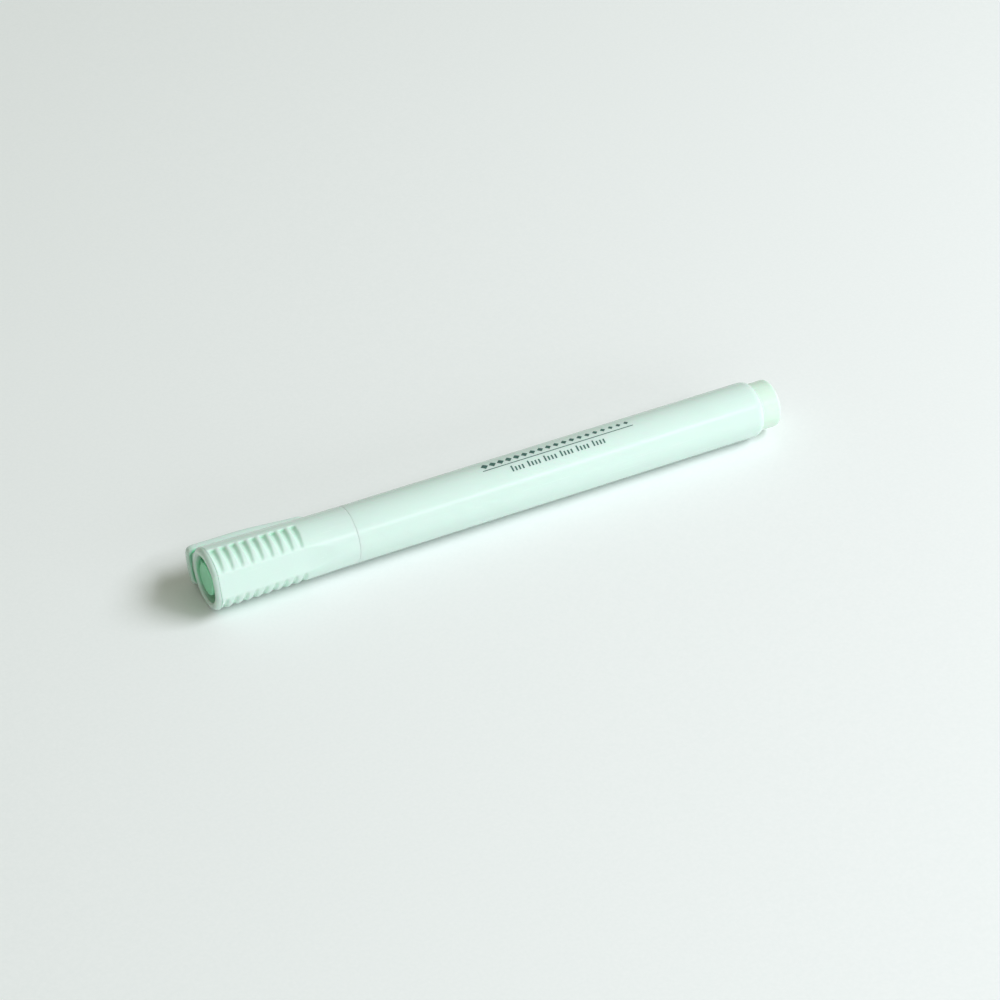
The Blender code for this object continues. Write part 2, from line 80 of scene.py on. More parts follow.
CLOSED_END = CAP_LOW.x
AXIS_Y = (BARREL_LOW.y + BARREL_HIGH.y) / 2
AXIS_Z = (BARREL_LOW.z + BARREL_HIGH.z) / 2
BARREL_RADIUS = (BARREL_HIGH.z - BARREL_LOW.z) / 2
CAP_LENGTH = CAP_HIGH.x - CLOSED_END
CAP_END_RADIUS = (CAP_HIGH.z - CAP_LOW.z) / 2
BARREL_END = BARREL_HIGH.x - CLOSED_END
NECK_START = BARREL_LOW.x - CLOSED_END
PEN_END = PLUG_HIGH.x - CLOSED_END
PLUG_START = PLUG_LOW.x - CLOSED_END
LINER_RECESS = LINER_LOW.x - CLOSED_END
LINER_MOUTH = LINER_HIGH.x - CLOSED_END
LINER_RADIUS = (LINER_HIGH.z - LINER_LOW.z) / 2
CLIP_START = CLIP_LOW.x - CLOSED_END
CLIP_LENGTH = CLIP_HIGH.x - CLOSED_END
HOLDER_START = HOLDER_LOW.x - CLOSED_END
HOLDER_END = HOLDER_HIGH.x - CLOSED_END
NIB_TIP = NIB_LOW.x - CLOSED_END
NIB_END = NIB_HIGH.x - CLOSED_END
ROD_START = ROD_LOW.x - CLOSED_END
ROD_END = ROD_HIGH.x - CLOSED_END
ROD_RADIUS = (ROD_HIGH.z - ROD_LOW.z) / 2
FILM_START = FILM_LOW.x - CLOSED_END
FILM_END = FILM_HIGH.x - CLOSED_END
FILM_RADIUS = (FILM_HIGH.z - FILM_LOW.z) / 2
FLAT_AXIS = mount("cap_flat")["axis"]
CLIP_TURN = atan2(-FLAT_AXIS[2], -FLAT_AXIS[1])

# Sizes that the CAD model shares, in millimetres.
CAP_TAPER_LENGTH = 28.0
FLAT_DEPTH = 0.55
FLAT_RUNOUT_START = 20.0
GROOVE_COUNT = 9
GROOVE_PITCH = 2.2
FIRST_GROOVE = 2.05
CAP_BORE = 5.0
CAP_MOUTH_RADIUS = 5.45
CAP_MOUTH_DEPTH = 6.5
LEDGE_START = 1.2
LEDGE_END = 2.0
LINER_CORE = 3.4
LINER_WALL = 0.7
VENT_SPAN = radians(110)
BORE_CHAMFER = 0.3
BORE_STEP_LENGTH = 0.4
NECK_RADIUS = 4.75
NECK_BORE = 3.85
STEM_RADIUS = 3.55
SNAP_BEAD_HEIGHT = 0.12
SNAP_BEAD_HALF_LENGTH = 0.5
SNAP_BEAD_SETBACK = 3.0
COLLAR_RADIUS = 5.2
BARREL_BORE = 5.2
BARREL_WALL = 1.0
BORE_STEP_PAST_CAP = 1.3
PLUG_WALL = 0.9
PLUG_END_WALL = 1.35
STUB_RADIUS = 5.3
SHOULDER_LENGTH = 1.7
SHOULDER_DROP = 0.65
CLIP_REACH = 10.1
CLIP_THICKNESS = 1.7
CLIP_HALF_WIDTH = 4.5
CLIP_TIP_HALF_WIDTH = 3.5
CLIP_STRAIGHT_LENGTH = 10.0
CLIP_TIP_DROP = 0.5
CLIP_BEAD_LENGTH = 3.0
CLIP_BEAD_GAP = 0.3
WEB_START = 0.7
WEB_LENGTH = 3.6
WEB_HALF_WIDTH = 3.2
NIB_WIDTH = 4.2
NIB_THICKNESS = 2.6
NIB_CORNER_RADIUS = 0.7
NIB_TAPER_LENGTH = 3.2
CHISEL_TURN = radians(40)
FILM_THICKNESS = 0.3
PRESS_GAP = 0.3

# Sizes of the visible surface that the CAD model leaves out or has otherwise, in millimetres.
LEAD_IN = 0.5
LEAD_IN_DROP = 0.3
CAP_RIM_ROUNDING = 1.05
CAP_LIP_ROUNDING = 0.07
SEAM_GAP = 0.02
GROOVE_WIDTH = 2.05
GROOVE_DEPTH = 0.52
GROOVE_FROM = radians(22)
GROOVE_FULL = radians(60)
GROOVE_TO = radians(76.5)
GROOVE_RUN_OUT = radians(4)
FLAT_EDGE_BLEND = 0.06
FLAT_FADE_LENGTH = 9.0
CLIP_EDGE_ROUNDING = 0.6
CLIP_CORNER_RADIUS = 1.5
CLIP_INSET = 0.03
WEB_INTO_CAP = 1.1
WEB_INTO_PLATE = 0.35
LEDGE_CLEARANCE = 0.12
LEDGE_INTO_BORE = 0.15

# Beside the flat, a groove has these shares of its width and depth towards the clip.
GROOVE_NARROW = 0.6
GROOVE_SHALLOW = 0.4
# At the very tip, the clip has this share of its width.
CLIP_BLUNT_END = 0.35

ROUND_SIDES = 144
CAP_SIDES = 288
ROD_SIDES = 96


# Places and meshes


def placed(points):
    """World positions, in metres, of pen points (x, y, z) whose y points along the clip."""
    points = np.asarray(points, float)
    across, up = cos(CLIP_TURN), sin(CLIP_TURN)
    world = np.empty_like(points)
    world[..., 0] = points[..., 0] + CLOSED_END
    world[..., 1] = points[..., 1] * across - points[..., 2] * up + AXIS_Y
    world[..., 2] = points[..., 1] * up + points[..., 2] * across + AXIS_Z
    return world * MM


def polar(x, radius, turn):
    """Pen points from distances along the pen, radii and turns."""
    x, radius, turn = np.broadcast_arrays(x, radius, turn)
    return np.stack([x, radius * np.cos(turn), radius * np.sin(turn)], axis=-1)


def full_turn(sides):
    return np.arange(sides) * 2 * pi / sides


def grid_faces(rows, columns, wrap_rows, wrap_columns, start=0):
    """The quads between neighbouring points of a grid."""
    faces = []
    for i in range(rows if wrap_rows else rows - 1):
        for j in range(columns if wrap_columns else columns - 1):
            here, below = i * columns, (i + 1) % rows * columns
            right = (j + 1) % columns
            corners = (here + j, here + right, below + right, below + j)
            faces.append(tuple(start + corner for corner in corners))
    return faces


def new_piece(name, parts, material, sharp_degrees=40):
    """An object made of (points, faces) parts in pen coordinates, shaded smooth, its normals outwards."""
    points = []
    faces = []
    for part_points, part_faces in parts:
        start = len(points)
        points += [tuple(point) for point in placed(part_points).reshape(-1, 3)]
        faces += [tuple(start + corner for corner in face) for face in part_faces]
    mesh = bpy.data.meshes.new(name)
    mesh.from_pydata(points, [], faces)
    mesh.materials.append(material)
    outwards(mesh)
    mesh.shade_smooth()
    mesh.set_sharp_from_angle(angle=radians(sharp_degrees))
    piece = bpy.data.objects.new(name, mesh)
    bpy.context.scene.collection.objects.link(piece)
    return piece


def outwards(mesh):
    """Turns every closed part of a mesh so that its faces point out."""
    shape = bmesh.new()
    shape.from_mesh(mesh)
    bmesh.ops.recalc_face_normals(shape, faces=shape.faces)
    shape.to_mesh(mesh)
    shape.free()


def lofted(loops, closed):
    """A part from loops of points: joined end to end, or closed by a face over each end."""
    loops = np.asarray(loops, float)
    rows, columns = loops.shape[:2]
    faces = grid_faces(rows, columns, closed, True)
    if not closed:
        faces.append(tuple(range(columns)))
        faces.append(tuple((rows - 1) * columns + i for i in range(columns)))
    return loops.reshape(-1, 3), faces


def rounded(corners, closed, steps=6):
    """An outline from corners (x, radius, rounding), each rounded as far as its neighbours leave room."""
    corners = [(Vector((x, radius)), rounding) for x, radius, rounding in corners]
    outline = []
    for i, (corner, rounding) in enumerate(corners):
        at_end = i in (0, len(corners) - 1) and not closed
        if rounding == 0 or at_end:
            outline.append(tuple(corner))
            continue
        before = corners[i - 1][0] - corner
        after = corners[(i + 1) % len(corners)][0] - corner
        half = before.angle(after) / 2
        reach = min(rounding / tan(half), before.length * 0.49, after.length * 0.49)
        start, end = corner + before.normalized() * reach, corner + after.normalized() * reach
        for step in range(steps + 1):
            share = step / steps
            middle = corner * 2 * share * (1 - share)
            point = start * (1 - share) ** 2 + middle + end * share ** 2
            outline.append(tuple(point))
    return outline


def turned(corners, closed, sides=ROUND_SIDES):
    """A round part from the corners of its outline. An open outline is closed by a flat face at each end."""
    outline = np.array(rounded(corners, closed))
    return lofted(polar(outline[:, :1], outline[:, 1:], full_turn(sides)[None, :]), closed)


def smooth(share):
    share = np.clip(share, 0, 1)
    return share * share * (3 - 2 * share)


def round_off(share):
    """A quarter circle's height at a share of its radius from its end."""
    share = np.clip(share, 0, 1)
    return np.sqrt(1 - (1 - share) ** 2)


# Materials

# How far away a surface still casts painted shade into hollows, in millimetres.
HOLLOW_SHADE_REACH = 2.5


class Nodes:
    """Builds one material's nodes, with coordinates in metres on the piece."""

    def __init__(self, name):
        self.material = bpy.data.materials.new(name)
        self.material.use_nodes = True
        self.tree = self.material.node_tree
        self.shader = self.tree.nodes["Principled BSDF"]
        self.place = self.tree.nodes.new("ShaderNodeTexCoord").outputs["Object"]

    def add(self, kind, inputs=None, **settings):
        node = self.tree.nodes.new(kind)
        for key, value in settings.items():
            setattr(node, key, value)
        for key, value in (inputs or {}).items():
            if isinstance(value, bpy.types.NodeSocket):
                self.tree.links.new(value, node.inputs[key])
            else:
                node.inputs[key].default_value = value
        return node

    def stretched(self, scale):
        return self.add("ShaderNodeMapping", {"Vector": self.place, "Scale": scale}).outputs["Vector"]

    def noise(self, size, detail=3.0, vector=None):
        """Noise from 0 to 1 whose lumps are about size millimetres across."""
        inputs = {"Vector": vector or self.place, "Scale": 1 / (size * MM), "Detail": detail}
        return self.add("ShaderNodeTexNoise", inputs).outputs["Fac"]

    def ranged(self, value, low, high, to_low, to_high):
        inputs = {"Value": value, "From Min": low, "From Max": high, "To Min": to_low, "To Max": to_high}
        return self.add("ShaderNodeMapRange", inputs).outputs["Result"]

    def maths(self, operation, first, second):
        return self.add("ShaderNodeMath", {0: first, 1: second}, operation=operation).outputs[0]

    def mixed(self, share, first, second):
        node = self.add("ShaderNodeMix", data_type="RGBA")
        for index, value in ((0, share), (6, first), (7, second)):
            if isinstance(value, bpy.types.NodeSocket):
                self.tree.links.new(value, node.inputs[index])
            else:
                node.inputs[index].default_value = value
        return node.outputs[2]

    def bump(self, height, strength, distance, normal=None):
        inputs = {"Height": height, "Strength": strength, "Distance": distance * MM}
        if normal:
            inputs["Normal"] = normal
        return self.add("ShaderNodeBump", inputs).outputs["Normal"]

    def link(self, value, socket):
        self.tree.links.new(value, self.shader.inputs[socket])


def shaded(colour, factor):
    return (*(min(channel * factor, 1) for channel in colour), 1)


def plastic(name, colour, hollow_shade_colour, roughness=0.24, depth=1.2):
    """Translucent moulded plastic, slightly cloudy, finely grained and scratched, and a deeper green in
    hollows, where painted shade is mixed in.
    """
    nodes = Nodes(name)
    cloud = nodes.ranged(nodes.noise(9, detail=2), 0.3, 0.7, 0, 1)
    speck = nodes.ranged(nodes.noise(0.35, detail=2), 0.35, 0.65, 0, 1)
    tint = nodes.mixed(cloud, shaded(colour, 0.985), shaded(colour, 1.01))
    tint = nodes.mixed(nodes.maths("MULTIPLY", speck, 0.3), tint, shaded(colour, 0.965))
    edges = nodes.add("ShaderNodeNewGeometry").outputs["Pointiness"]
    rubbed = nodes.ranged(edges, 0.52, 0.6, 0, 0.45)
    tint = nodes.mixed(rubbed, tint, shaded(colour, 1.06))
    # Painted shade: where the piece's own surfaces lie close round a point, the colour turns to the deeper
    # shade green.
    reach = {"Distance": HOLLOW_SHADE_REACH * MM}
    shelter = nodes.add("ShaderNodeAmbientOcclusion", reach, samples=8, only_local=True)
    painted_hollow_shade = nodes.ranged(shelter.outputs["AO"], 0.4, 0.96, 1, 0)
    nodes.link(nodes.mixed(painted_hollow_shade, tint, (*hollow_shade_colour, 1)), "Base Color")
    smudge = nodes.ranged(nodes.noise(7, detail=2), 0.3, 0.7, roughness - 0.015, roughness + 0.02)
    along = nodes.noise(1, detail=2, vector=nodes.stretched((0.03, 6, 6)))
    scratch = nodes.ranged(along, 0.64, 0.74, 0, 0.05)
    nodes.link(nodes.maths("ADD", smudge, scratch), "Roughness")
    ripple = nodes.bump(nodes.noise(6, detail=1), 0.08, 0.03)
    fine = nodes.bump(nodes.noise(0.18, detail=3), 0.2, 0.008, ripple)
    nodes.link(fine, "Normal")
    shader = nodes.shader
    shader.inputs["Subsurface Weight"].default_value = 0.5
    shader.inputs["Subsurface Radius"].default_value = (0.6, 1.0, 0.8)
    shader.inputs["Subsurface Scale"].default_value = depth * MM
    shader.inputs["IOR"].default_value = 1.5
    shader.inputs["Specular IOR Level"].default_value = 0.4
    return nodes.material


def printed_ink(name):
    """Pad-printed ink: dark grey-green, thin in places."""
    nodes = Nodes(name)
    patchy = nodes.ranged(nodes.noise(0.4, detail=4), 0.35, 0.7, 0, 1)
    nodes.link(nodes.mixed(patchy, (0.035, 0.10, 0.085, 1), (0.085, 0.19, 0.165, 1)), "Base Color")
    nodes.link(nodes.ranged(patchy, 0, 1, 0.38, 0.5), "Roughness")
    nodes.link(nodes.bump(nodes.noise(0.12), 0.2, 0.01), "Normal")
    return nodes.material


def bonded_fibre(name, colour, stretch):
    """Fibres side by side along the pen, soaked with ink, their pattern stretched along it."""
    nodes = Nodes(name)
    fibres = nodes.noise(0.12, detail=3, vector=nodes.stretched((1 / stretch, 1, 1)))
    soaked = nodes.ranged(nodes.noise(3, detail=2), 0.3, 0.7, 0, 1)
    pale = nodes.mixed(soaked, shaded(colour, 0.9), shaded(colour, 1.1))
    between = nodes.ranged(fibres, 0.3, 0.7, 0, 0.6)
    nodes.link(nodes.mixed(between, pale, shaded(colour, 0.6)), "Base Color")
    nodes.link(nodes.ranged(fibres, 0.3, 0.7, 0.55, 0.85), "Roughness")
    nodes.link(nodes.bump(fibres, 0.6, 0.06), "Normal")
    nodes.shader.inputs["Subsurface Weight"].default_value = 0.2
    nodes.shader.inputs["Subsurface Scale"].default_value = 0.6 * MM
    return nodes.material


def clear_film(name):
    """Thin shiny film with lengthwise creases."""
    nodes = Nodes(name)
    creases = nodes.noise(0.8, detail=2, vector=nodes.stretched((0.1, 1, 1)))
    nodes.link(nodes.mixed(creases, (0.74, 0.88, 0.80, 1), (0.90, 0.96, 0.93, 1)), "Base Color")
    nodes.link(nodes.ranged(creases, 0.3, 0.7, 0.12, 0.3), "Roughness")
    nodes.link(nodes.bump(creases, 0.4, 0.08), "Normal")
    return nodes.material


def table_top(name):
    """Pale, matt and finely speckled."""
    nodes = Nodes(name)
    speck = nodes.ranged(nodes.noise(0.7, detail=5), 0.3, 0.7, 0, 1)
    nodes.link(nodes.mixed(speck, (0.865, 0.885, 0.88, 1), (0.89, 0.905, 0.90, 1)), "Base Color")
    nodes.link(nodes.ranged(speck, 0, 1, 0.6, 0.75), "Roughness")
    nodes.link(nodes.bump(nodes.noise(0.9, detail=4), 0.15, 0.05), "Normal")
    return nodes.material


# After each plastic's green comes the deeper green of the painted shade that it turns to in its hollows.
BODY_GREEN = (0.645, 0.79, 0.725)
BODY_HOLLOW_SHADE_GREEN = (0.20, 0.76, 0.42)
PLUG_GREEN = (0.66, 0.81, 0.70)
PLUG_HOLLOW_SHADE_GREEN = (0.30, 0.80, 0.44)
# The liner's green is partly its own colour and partly painted shade: it is deepened for the cap's end,
# which lies in shade.
LINER_SHADE_DEEPENED_GREEN = (0.32, 0.80, 0.50)
LINER_HOLLOW_SHADE_GREEN = (0.04, 0.66, 0.22)
NIB_GREEN = (0.38, 0.86, 0.58)
FIBRE_GREEN = (0.48, 0.87, 0.64)


# Pieces


def barrel(material):
    """The body tube, with the neck and collar that the cap slides over, and its rounded tail edge."""
    seam = CAP_LENGTH + SEAM_GAP
    collar = CAP_LENGTH - CAP_MOUTH_DEPTH + PRESS_GAP
    bead = collar - SNAP_BEAD_SETBACK
    bore_step = CAP_LENGTH + BORE_STEP_PAST_CAP
    shoulder = BARREL_END - SHOULDER_LENGTH
    tail = [(shoulder, BARREL_RADIUS, 0)]
    steps = 10
    for step in range(1, steps + 1):
        turn = pi / 2 * step / steps
        x = shoulder + SHOULDER_LENGTH * sin(turn)
        tail.append((x, BARREL_RADIUS - SHOULDER_DROP * (1 - cos(turn)), 0))
    corners = [
        (NECK_START, NECK_BORE, 0.15),
        (NECK_START, NECK_RADIUS - LEAD_IN_DROP, 0.15),
        (NECK_START + LEAD_IN, NECK_RADIUS, 0.3),
        (bead - SNAP_BEAD_HALF_LENGTH, NECK_RADIUS, 0.3),
        (bead, NECK_RADIUS + SNAP_BEAD_HEIGHT, 0.4),
        (bead + SNAP_BEAD_HALF_LENGTH, NECK_RADIUS, 0.3),
        (collar, NECK_RADIUS, 0.1),
        (collar + LEAD_IN, COLLAR_RADIUS, 0.3),
        (seam, COLLAR_RADIUS, 0.02),
        (seam, BARREL_RADIUS, 0.06),
        *tail,
        (BARREL_END, BARREL_BORE, 0.1),
        (bore_step + BARREL_WALL, BARREL_BORE, 0.2),
        (bore_step, NECK_BORE, 0.2),
    ]
    return new_piece("barrel_shell", [turned(corners, closed=True)], material)


def tail_plug(material):
    """The closing plug: a thin edge line against the barrel, then the stub with its rounded end."""
    edge_from, edge_to, foot = BARREL_END + 0.05, BARREL_END + 0.4, BARREL_END + 0.5
    edge_radius = STUB_RADIUS + 0.2
    insert = BARREL_BORE - PRESS_GAP
    end_inside = PEN_END - PLUG_END_WALL
    centre = 0.4
    corners = [
        (PEN_END, centre, 0),
        (PEN_END, STUB_RADIUS, 0.75),
        (foot, STUB_RADIUS, 0.1),
        (edge_to, edge_radius, 0.12),
        (edge_from, edge_radius, 0.12),
        (edge_from, insert, 0.1),
        (PLUG_START + LEAD_IN, insert, 0.2),
        (PLUG_START, insert - LEAD_IN_DROP, 0.1),
        (PLUG_START, insert - PLUG_WALL, 0.1),
        (end_inside, insert - PLUG_WALL, 0.3),
        (end_inside, centre, 0),
    ]
    return new_piece("tail_plug_shell", [turned(corners, closed=False)], material)


def cap_body_radius(x):
    share = np.clip(np.asarray(x, float) / CAP_TAPER_LENGTH, 0, 1)
    return CAP_END_RADIUS + (BARREL_RADIUS - CAP_END_RADIUS) * share


def groove_depth(x, from_flat):
    """The grip grooves: they start narrow beside the flat, and end wide and deep towards the clip."""
    turn = np.abs(from_flat)
    share = np.clip((turn - GROOVE_FROM) / (GROOVE_FULL - GROOVE_FROM), 0, 1)
    place = (x - FIRST_GROOVE) / GROOVE_PITCH
    number = np.clip(np.round(place), 0, GROOVE_COUNT - 1)
    half_width = GROOVE_WIDTH / 2 * (GROOVE_NARROW + (1 - GROOVE_NARROW) * share)
    across = np.clip(np.abs(place - number) * GROOVE_PITCH / half_width, 0, 1)
    valley = 0.5 + 0.5 * np.cos(pi * across)
    start = smooth(share * 3) * (GROOVE_SHALLOW + (1 - GROOVE_SHALLOW) * share)
    stop = smooth((GROOVE_TO - turn) / GROOVE_RUN_OUT + 1)
    return GROOVE_DEPTH * valley * start * stop


def soft_least(first, second, blend):
    """The smaller of two values, with the corner between them rounded."""
    share = np.clip(0.5 + 0.5 * (second - first) / blend, 0, 1)
    return second * (1 - share) + first * share - blend * share * (1 - share)


def cap_radius(x, turn):
    """The cap's outside radius: a slight taper, the flat opposite the clip, and the grooves."""
    from_flat = turn % (2 * pi) - pi
    body = cap_body_radius(x)
    runout = smooth((x - FLAT_RUNOUT_START) / FLAT_FADE_LENGTH)
    distance = body - FLAT_DEPTH * (1 - runout)
    facing = np.abs(from_flat) < pi / 3
    flat = np.where(facing, distance / np.cos(np.where(facing, from_flat, 0)), 2 * body)
    return soft_least(body, flat, FLAT_EDGE_BLEND) - groove_depth(x, from_flat)


def cap_stations():
    """Distances along the cap's outside, close together where the grooves are."""
    steps, plain_step, margin = 14, 0.4, 0.3
    first = FIRST_GROOVE - GROOVE_PITCH / 2
    ribbed = first + np.arange(GROOVE_COUNT * steps + 1) * GROOVE_PITCH / steps
    plain = np.arange(ribbed[-1] + plain_step, CAP_LENGTH - margin, plain_step)
    return np.concatenate([[CAP_RIM_ROUNDING], ribbed, plain, [CAP_LENGTH - CAP_LIP_ROUNDING]])


def cap_shell(material):
    """The outside of the cap with its rounded rims, its bore, and the vented ledge beside the liner."""
    turns = full_turn(CAP_SIDES)[None, :]
    loops = []
    rim_steps = 9
    for step in range(rim_steps):
        angle = pi / 2 * step / rim_steps
        inset = CAP_RIM_ROUNDING * (1 - sin(angle))
        x = CAP_RIM_ROUNDING * (1 - cos(angle))
        loops.append(polar(x, cap_radius(x, turns) - inset, turns))
    stations = cap_stations()[:, None]
    loops += list(polar(stations, cap_radius(stations, turns), turns))
    for angle in (pi / 6, pi / 3, pi / 2):
        x = CAP_LENGTH - CAP_LIP_ROUNDING * (1 - sin(angle))
        inset = CAP_LIP_ROUNDING * (1 - cos(angle))
        loops.append(polar(x, cap_radius(x, turns) - inset, turns))
    mouth_end = CAP_LENGTH - CAP_MOUTH_DEPTH
    mouth_chamfer, mouth_chamfer_length = 0.12, 0.3
    recess_side = 1.0
    inside = rounded(
        [
            (CAP_LENGTH, CAP_MOUTH_RADIUS + mouth_chamfer, 0),
            (CAP_LENGTH - mouth_chamfer_length, CAP_MOUTH_RADIUS, 0.1),
            (mouth_end, CAP_MOUTH_RADIUS, 0.1),
            (mouth_end - BORE_STEP_LENGTH, CAP_BORE, 0.1),
            (recess_side, CAP_BORE, 0),
            (BORE_CHAMFER, CAP_BORE, 0.3),
            (0, CAP_BORE + BORE_CHAMFER, 0),
        ],
        closed=False,
    )
    loops += [polar(x, radius, turns) for x, radius in inside]
    shell = lofted([np.reshape(loop, (-1, 3)) for loop in loops], closed=True)
    return new_piece("cap_shell_skin", [shell, *ledge_parts()], material, sharp_degrees=50)


def ledge_parts():
    """The ledge between bore and liner, left open by a vent above the liner and one below it."""
    inner, outer = LINER_CORE + LEDGE_CLEARANCE, CAP_BORE + LEDGE_INTO_BORE
    section = rounded(
        [
            (LEDGE_START, inner, 0.1),
            (LEDGE_START, outer, 0),
            (LEDGE_END, outer, 0),
            (LEDGE_END, inner, 0.1),
        ],
        closed=True,
        steps=3,
    )
    half_bridge = (pi - VENT_SPAN) / 2
    stations = 25
    parts = []
    for middle in (0, pi):
        loops = []
        for turn in np.linspace(middle - half_bridge, middle + half_bridge, stations):
            loops.append([polar(x, radius, turn) for x, radius in section])
        parts.append(lofted(np.reshape(loops, (stations, -1, 3)), closed=False))
    return parts


def cap_liner(material):
    """The inner cup: its closed end is seen in the cap's end, and its mouth stops short of the neck."""
    flare, flare_length = LEDGE_END + 0.3, 1.0
    flare_inside = flare + 0.3
    centre = 0.3
    corners = [
        (LINER_RECESS, centre, 0),
        (LINER_RECESS, LINER_CORE, 0.3),
        (flare, LINER_CORE, 0.2),
        (flare + flare_length, LINER_RADIUS, 0.3),
        (LINER_MOUTH, LINER_RADIUS, 0.15),
        (LINER_MOUTH, LINER_RADIUS - LINER_WALL, 0.15),
        (flare_inside + flare_length, LINER_RADIUS - LINER_WALL, 0.3),
        (flare_inside, LINER_CORE - LINER_WALL, 0.3),
        (LINER_RECESS + LINER_WALL, LINER_CORE - LINER_WALL, 0.3),
        (LINER_RECESS + LINER_WALL, centre, 0),
    ]
    return new_piece("cap_liner_cup", [turned(corners, closed=False)], material)


def clip_taper(x):
    return smooth((x - CLIP_STRAIGHT_LENGTH) / (CLIP_LENGTH - CLIP_STRAIGHT_LENGTH))


def clip_section(x):
    """One loop of the clip's plate: curved round the pen, with rounded edges and the bead under its tip."""
    half = CLIP_HALF_WIDTH + (CLIP_TIP_HALF_WIDTH - CLIP_HALF_WIDTH) * clip_taper(x)
    half -= CLIP_CORNER_RADIUS * (1 - round_off((x - CLIP_START) / CLIP_CORNER_RADIUS))
    half *= max(CLIP_BLUNT_END, round_off((CLIP_LENGTH - x) / CLIP_TIP_HALF_WIDTH))
    outer = CLIP_REACH - CLIP_INSET - CLIP_TIP_DROP * clip_taper(x)
    inner = outer - CLIP_THICKNESS
    middle = CLIP_LENGTH - CLIP_BEAD_LENGTH
    from_bead = abs(x - middle) / (CLIP_BEAD_LENGTH / 2)
    if from_bead < 1:
        inner -= (inner - cap_body_radius(middle) - CLIP_BEAD_GAP) * (0.5 + 0.5 * cos(pi * from_bead))
    end = min(x - CLIP_START, CLIP_LENGTH - x)
    shrink = CLIP_EDGE_ROUNDING * (1 - round_off(end / CLIP_EDGE_ROUNDING))
    inner, outer = inner + shrink, outer - shrink
    just_under_half = 0.48
    radius = min(CLIP_EDGE_ROUNDING, (outer - inner) * just_under_half, half / 2)
    spread = (half - radius) / (outer - radius)
    columns = 17
    across = np.linspace(-spread, spread, columns)[1:-1]
    upper = clip_edge(spread, inner, outer, radius)
    lower = [(out, -side) for out, side in reversed(upper)]
    loop = [(outer * cos(turn), outer * sin(turn)) for turn in across]
    loop += upper
    loop += [(inner * cos(turn), inner * sin(turn)) for turn in reversed(across)]
    loop += lower
    return [(x, out, side) for out, side in loop]


def clip_edge(spread, inner, outer, radius, steps=6):
    """The rounded long edge of the clip, from its outer face round to its inner face."""
    points = []
    for centre, start in ((outer - radius, 0), (inner + radius, pi / 2)):
        for turn in np.linspace(start, start + pi / 2, steps + 1):
            out = centre + radius * cos(turn)
            side = radius * sin(turn)
            outwards_by = out * cos(spread) - side * sin(spread)
            points.append((outwards_by, out * sin(spread) + side * cos(spread)))
    return points


def clip_web():
    """The root that carries the clip, flared where it meets the cap and where it meets the plate."""
    underside = CLIP_REACH - CLIP_THICKNESS
    low, high = CAP_END_RADIUS - WEB_INTO_CAP, underside + WEB_INTO_PLATE
    flare_height, flare_width, front_share = 0.45, 0.4, 0.4
    corner_radius = 0.5
    stations = 21
    loops = []
    for share in np.linspace(0, 1, stations):
        out = low + (high - low) * share
        from_cap = max(0, 1 - max(0, out - CAP_END_RADIUS) / flare_height)
        from_plate = max(0, 1 - max(0, underside - out) / flare_height)
        flare = flare_width * (1 - sqrt(1 - max(from_cap, from_plate) ** 2))
        front, back = WEB_START - flare * front_share, WEB_START + WEB_LENGTH + flare
        loops.append(rounded_box(out, front, back, WEB_HALF_WIDTH + flare, corner_radius))
    return lofted(loops, closed=False)


def rounded_box(out, x_from, x_to, half, radius, steps=6):
    """A loop round the pen's length and width at one distance out, with round corners."""
    points = []
    for quadrant in range(4):
        centre_x = x_to - radius if quadrant in (0, 3) else x_from + radius
        centre_side = half - radius if quadrant in (0, 1) else radius - half
        for step in range(steps + 1):
            turn = pi / 2 * (quadrant + step / steps)
            points.append((centre_x + radius * cos(turn), out, centre_side + radius * sin(turn)))
    return points


def clip(material):
    """The clip: a tapering plate that stands off the cap on its root."""
    length = CLIP_LENGTH - CLIP_START
    blunt, end_steps, middle_steps = 0.12, 8, 70
    fine = CLIP_EDGE_ROUNDING * (1 - np.cos(np.linspace(blunt, pi / 2, end_steps)))
    middle = np.linspace(2 * CLIP_EDGE_ROUNDING, length - 2 * CLIP_EDGE_ROUNDING, middle_steps)
    places = CLIP_START + np.concatenate([fine, middle, length - fine[::-1]])
    plate = lofted([clip_section(x) for x in places], closed=False)
    return new_piece("clip_plate", [plate, clip_web()], material, sharp_degrees=50)


def nib_loop(x, corner=NIB_CORNER_RADIUS, steps=8, narrower=1.0, thinner=1.0):
    """The nib's oblong section with round corners, in upright directions: wide along y, thin along z."""
    across, deep = NIB_WIDTH / 2 - corner, NIB_THICKNESS / 2 - corner
    points = []
    for quadrant in range(4):
        side = across if quadrant in (0, 3) else -across
        height = deep if quadrant in (0, 1) else -deep
        for step in range(steps + 1):
            turn = pi / 2 * (quadrant + step / steps)
            wide = (side + corner * cos(turn)) * narrower
            points.append((x, wide, (height + corner * sin(turn)) * thinner))
    return points


def upright(loop):
    """Turns a loop with y level and z upright to the directions that placed() expects."""
    back, up = cos(-CLIP_TURN), sin(-CLIP_TURN)
    return [(x, y * back - z * up, y * up + z * back) for x, y, z in loop]


